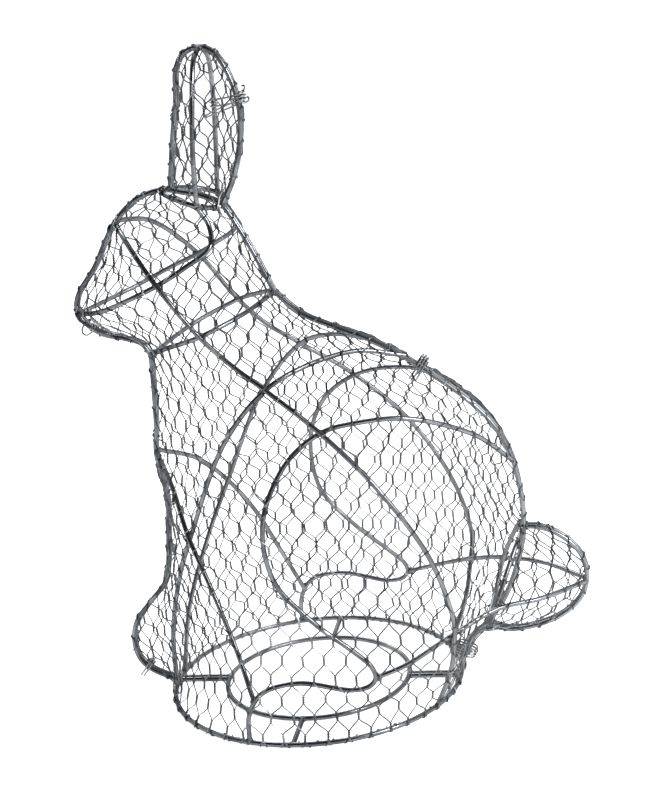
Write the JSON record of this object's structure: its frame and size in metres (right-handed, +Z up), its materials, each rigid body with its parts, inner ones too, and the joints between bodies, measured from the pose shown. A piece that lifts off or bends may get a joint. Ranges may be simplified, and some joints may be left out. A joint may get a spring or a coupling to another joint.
{
  "type": "rabbit topiary frame",
  "caption": "Wire topiary frame shaped as a sitting rabbit, bent steel rods on round base rings and covered with hexagonal netting, ready to be filled with moss and planted.",
  "frame": {"origin": "the middle of the bounding box on the floor, in the plane where the two mirrored halves meet", "axes": "+Z up, -X towards the nose, +X towards the tail, +Y towards the rabbit's right side"},
  "size_m": [0.3131, 0.1944, 0.4164],
  "materials": {
    "rod": "galvanised, dull metallic grey",
    "netting": "galvanised, lighter metallic grey",
    "tie": "galvanised, lighter metallic grey"
  },
  "bodies": {
    "root": {"back_profile_left": "rod", "back_profile_right": "rod", "base_ring_left": "rod", "base_ring_right": "rod", "body_net_left": "netting", "body_net_right": "netting", "cheek_rod_left": "rod", "cheek_rod_right": "rod", "ear_hoop_left": "rod", "ear_hoop_right": "rod", "ear_net_left": "netting", "ear_net_right": "netting", "ear_profile_left": "rod", "ear_profile_right": "rod", "ear_rod_left": "rod", "ear_rod_right": "rod", "foreleg_rod_left": "rod", "foreleg_rod_right": "rod", "front_profile_left": "rod", "front_profile_right": "rod", "front_spoke_left": "rod", "front_spoke_right": "rod", "haunch_rod_left": "rod", "haunch_rod_right": "rod", "head_profile_left": "rod", "head_profile_right": "rod", "heel_rod_left": "rod", "heel_rod_right": "rod", "inner_ring_left": "rod", "inner_ring_right": "rod", "neck_rod_left": "rod", "neck_rod_right": "rod", "rear_spoke_left": "rod", "rear_spoke_right": "rod", "shoulder_rod_left": "rod", "shoulder_rod_right": "rod", "side_rod_left": "rod", "side_rod_right": "rod", "side_spoke_left": "rod", "side_spoke_right": "rod", "tail_hoop_left": "rod", "tail_hoop_right": "rod", "tail_net_left": "netting", "tail_net_right": "netting", "tail_profile_left": "rod", "tail_profile_right": "rod", "back_tie": "tie", "chin_tie": "tie", "ear_tie": "tie", "paw_tie": "tie", "rump_tie": "tie"}
  },
  "joints": []
}
